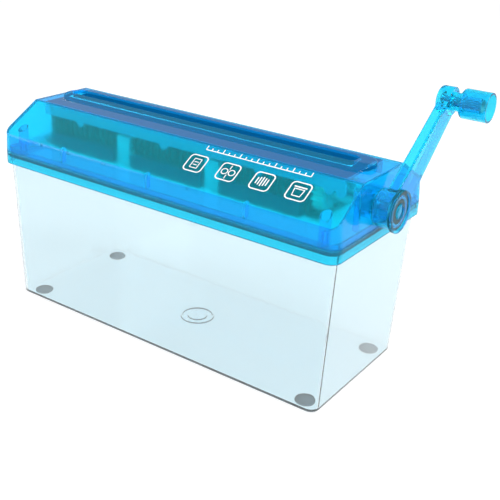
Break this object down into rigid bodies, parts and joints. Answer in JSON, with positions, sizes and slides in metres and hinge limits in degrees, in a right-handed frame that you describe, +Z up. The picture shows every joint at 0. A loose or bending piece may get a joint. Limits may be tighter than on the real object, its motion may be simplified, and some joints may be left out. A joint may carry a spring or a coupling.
{
  "type": "hand crank paper shredder",
  "caption": "Table-top hand-crank paper shredder: clear tapered bin, lift-off translucent head with geared cutter rollers, and a side crank with a turning knob.",
  "frame": {"origin": "centre of the bin's flat underside, 2 mm above the table the feet stand on", "axes": "+X along the rollers towards the crank, +Y to the back, +Z up"},
  "size_m": [0.327, 0.1284, 0.2006],
  "materials": {
    "clear_plastic": "clear, glossy",
    "rubber": "soft, grey",
    "blue_plastic": "translucent, lightly frosted inside",
    "blue_handle": "translucent, glossy",
    "black_steel": "blackened, ground edges",
    "nylon": "moulded",
    "inner_plastic": "moulded",
    "bronze": "sintered",
    "steel": "turned, zinc plated"
  },
  "bodies": {
    "bin": {"bin_shell": "clear_plastic", "foot_back_left": "rubber", "foot_back_right": "rubber", "foot_front_left": "rubber", "foot_front_right": "rubber"},
    "head": {"cover_screws": "steel", "crank_bush": "bronze", "front_bush_left": "bronze", "front_bush_right": "bronze", "front_comb_left": "inner_plastic", "front_comb_middle": "inner_plastic", "front_comb_right": "inner_plastic", "front_saddle_left": "inner_plastic", "front_saddle_right": "inner_plastic", "front_tie_rod": "steel", "lower_frame": "blue_plastic", "module_screws": "steel", "paper_guide": "blue_plastic", "rear_bush_left": "bronze", "rear_bush_right": "bronze", "rear_comb_left": "inner_plastic", "rear_comb_middle": "inner_plastic", "rear_comb_right": "inner_plastic", "rear_saddle_left": "inner_plastic", "rear_saddle_right": "inner_plastic", "rear_tie_rod": "steel", "saddle_screws": "steel", "side_plate_left": "inner_plastic", "side_plate_right": "inner_plastic", "upper_cover": "blue_plastic"},
    "crank": {"crank_arm": "blue_handle", "crank_screw": "steel", "front_cutter_left": "black_steel", "front_cutter_middle": "black_steel", "front_cutter_right": "black_steel", "front_gear": "nylon", "front_shaft": "steel", "front_shaft_clips": "steel", "front_spacer_left": "steel", "front_spacer_right": "steel", "hub_cap": "blue_handle", "knob_spindle": "steel"},
    "rear_roller": {"rear_cutter_left": "black_steel", "rear_cutter_middle": "black_steel", "rear_cutter_right": "black_steel", "rear_gear": "nylon", "rear_shaft": "steel", "rear_shaft_clips": "steel", "rear_spacer_left": "steel", "rear_spacer_right": "steel"},
    "knob": {"crank_knob": "blue_handle"}
  },
  "joints": [
    {"name": "head_lift", "type": "slide", "parent": "bin", "child": "head", "axis": [0, 0, 1], "range_m": [0, 0.08]},
    {"name": "crank_turn", "type": "hinge", "parent": "head", "child": "crank", "pos_m": [0.15, -0.0092, 0.1329], "axis": [1, 0, 0], "continuous": true},
    {"name": "rear_roller_turn", "type": "hinge", "parent": "head", "child": "rear_roller", "pos_m": [0, 0.0133, 0.1329], "axis": [1, 0, 0], "continuous": true},
    {"name": "knob_spin", "type": "hinge", "parent": "crank", "child": "knob", "pos_m": [0.17, 0.0587, 0.18887], "axis": [1, 0, 0], "continuous": true}
  ],
  "couplings": [
    {"joint": "rear_roller_turn", "follows": "crank_turn", "ratio": -1}
  ]
}
